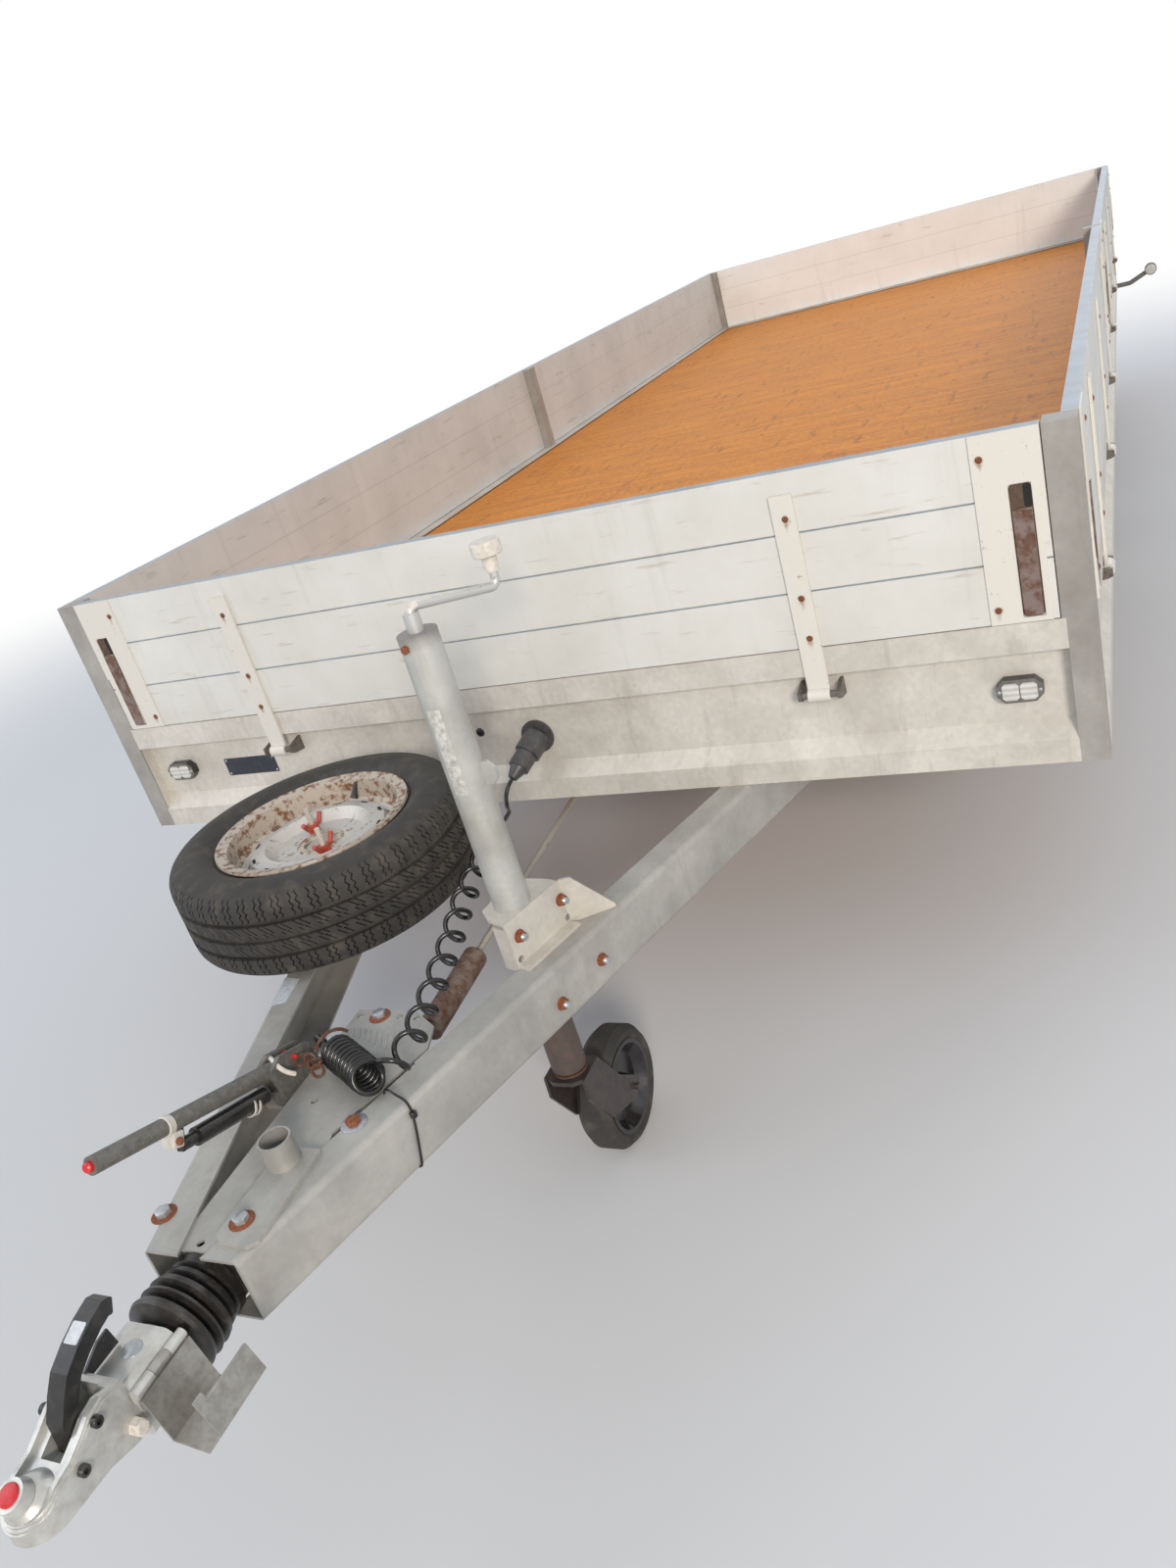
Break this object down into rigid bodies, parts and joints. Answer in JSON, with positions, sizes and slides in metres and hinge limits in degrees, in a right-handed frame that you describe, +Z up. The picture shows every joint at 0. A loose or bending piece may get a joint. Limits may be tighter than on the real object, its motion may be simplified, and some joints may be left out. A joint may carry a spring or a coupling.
{
  "type": "utility trailer",
  "caption": "Tandem-axle flatbed utility trailer with low drop-down side boards, V drawbar, ball coupling, jockey wheel and a spare wheel on the drawbar",
  "frame": {"origin": "middle of the bounding box on the ground plane", "axes": "+X from the bed to the coupling, +Y to the trailer's left, +Z up"},
  "size_m": [6.6055, 2.4258, 1.121],
  "materials": {
    "galvanised_steel": "hot-dip galvanised, weathered, dull",
    "coated_board": "off-white coated sheet, dusty",
    "plywood": "dark film-faced plywood, worn orange-brown",
    "cast_metal": "grey zinc-plated casting, weathered",
    "black_steel": "black paint, rubbed",
    "tyre": "used tread rubber",
    "rubber": "black rubber, matt",
    "black_plastic": "black moulded plastic",
    "wheel_steel": "silver paint with rust",
    "red_plastic": "orange-red plastic",
    "lens_plastic": "white lens in a black frame",
    "zinc_steel": "zinc plated, partly rusted"
  },
  "bodies": {
    "chassis": {"axles": "galvanised_steel", "board_posts": "galvanised_steel", "brake_rod": "zinc_steel", "cable_bunch": "black_plastic", "cable_coil": "black_plastic", "cable_lead": "rubber", "corner_columns": "galvanised_steel", "coupling_handle": "black_plastic", "coupling_head": "cast_metal", "cross_members": "galvanised_steel", "draw_tube": "zinc_steel", "drawbar_beams": "galvanised_steel", "drawbar_boot": "rubber", "floor_panel": "plywood", "front_frame": "galvanised_steel", "gas_spring": "zinc_steel", "handbrake_lever": "black_steel", "hinge_pins": "zinc_steel", "jack_bracket": "galvanised_steel", "jack_crank": "zinc_steel", "jack_tube": "zinc_steel", "lamps": "lens_plastic", "overrun_housing": "galvanised_steel", "plug": "black_plastic", "plug_holder": "black_plastic", "rear_frame": "galvanised_steel", "side_frames": "galvanised_steel", "side_markers": "black_plastic", "spare_carrier": "galvanised_steel", "spare_rim": "wheel_steel", "spare_tyre": "tyre", "spare_wing_nuts": "red_plastic", "stub_socket": "galvanised_steel"},
    "front_board_unit": {"front_board": "coated_board", "front_board_fittings": "galvanised_steel"},
    "rear_board_unit": {"rear_board": "coated_board", "rear_board_fittings": "galvanised_steel"},
    "left_front_board_unit": {"left_front_board": "coated_board", "left_front_board_fittings": "galvanised_steel"},
    "left_rear_board_unit": {"left_rear_board": "coated_board", "left_rear_board_fittings": "galvanised_steel"},
    "right_front_board_unit": {"right_front_board": "coated_board", "right_front_board_fittings": "galvanised_steel"},
    "right_rear_board_unit": {"right_rear_board": "coated_board", "right_rear_board_fittings": "galvanised_steel"},
    "front_left_wheel": {"front_left_rim": "wheel_steel", "front_left_tyre": "tyre"},
    "front_right_wheel": {"front_right_rim": "wheel_steel", "front_right_tyre": "tyre"},
    "rear_left_wheel": {"rear_left_rim": "wheel_steel", "rear_left_tyre": "tyre"},
    "rear_right_wheel": {"rear_right_rim": "wheel_steel", "rear_right_tyre": "tyre"},
    "jack_slider_unit": {"jack_slider": "zinc_steel"},
    "jack_fork_unit": {"jack_fork": "black_steel"},
    "jack_wheel_unit": {"jack_wheel_rim": "wheel_steel", "jack_wheel_tyre": "tyre"},
    "lock_flap_unit": {"lock_flap": "galvanised_steel"}
  },
  "joints": [
    {"name": "front_board_hinge", "type": "hinge", "parent": "chassis", "child": "front_board_unit", "pos_m": [1.86075, 0, 0.672], "axis": [0, 1, 0], "range_deg": [0, 75]},
    {"name": "rear_board_hinge", "type": "hinge", "parent": "chassis", "child": "rear_board_unit", "pos_m": [-3.29125, 0, 0.672], "axis": [0, -1, 0], "range_deg": [0, 180]},
    {"name": "left_front_board_hinge", "type": "hinge", "parent": "chassis", "child": "left_front_board_unit", "pos_m": [0.59275, 1.036, 0.672], "axis": [-1, 0, 0], "range_deg": [0, 180]},
    {"name": "left_rear_board_hinge", "type": "hinge", "parent": "chassis", "child": "left_rear_board_unit", "pos_m": [-1.95225, 1.036, 0.672], "axis": [-1, 0, 0], "range_deg": [0, 180]},
    {"name": "right_front_board_hinge", "type": "hinge", "parent": "chassis", "child": "right_front_board_unit", "pos_m": [0.59275, -1.036, 0.672], "axis": [1, 0, 0], "range_deg": [0, 180]},
    {"name": "right_rear_board_hinge", "type": "hinge", "parent": "chassis", "child": "right_rear_board_unit", "pos_m": [-1.95225, -1.036, 0.672], "axis": [1, 0, 0], "range_deg": [0, 180]},
    {"name": "front_left_wheel_spin", "type": "hinge", "parent": "chassis", "child": "front_left_wheel", "pos_m": [-0.51525, 0.8, 0.27], "axis": [0, 1, 0], "continuous": true},
    {"name": "front_right_wheel_spin", "type": "hinge", "parent": "chassis", "child": "front_right_wheel", "pos_m": [-0.51525, -0.8, 0.27], "axis": [0, 1, 0], "continuous": true},
    {"name": "rear_left_wheel_spin", "type": "hinge", "parent": "chassis", "child": "rear_left_wheel", "pos_m": [-1.21525, 0.8, 0.27], "axis": [0, 1, 0], "continuous": true},
    {"name": "rear_right_wheel_spin", "type": "hinge", "parent": "chassis", "child": "rear_right_wheel", "pos_m": [-1.21525, -0.8, 0.27], "axis": [0, 1, 0], "continuous": true},
    {"name": "jack_lift", "type": "slide", "parent": "chassis", "child": "jack_slider_unit", "axis": [0, 0, -1], "range_m": [0, 0.25]},
    {"name": "jack_swivel", "type": "hinge", "parent": "jack_slider_unit", "child": "jack_fork_unit", "pos_m": [2.34275, 0.1815, 0.25], "axis": [0, 0, 1], "continuous": true},
    {"name": "jack_wheel_spin", "type": "hinge", "parent": "jack_fork_unit", "child": "jack_wheel_unit", "pos_m": [2.22475, 0.1815, 0.11], "axis": [0, 1, 0], "continuous": true},
    {"name": "lock_flap_hinge", "type": "hinge", "parent": "chassis", "child": "lock_flap_unit", "pos_m": [3.10875, 0.048, 0.484], "axis": [1, 0, 0], "range_deg": [0, 90]}
  ]
}
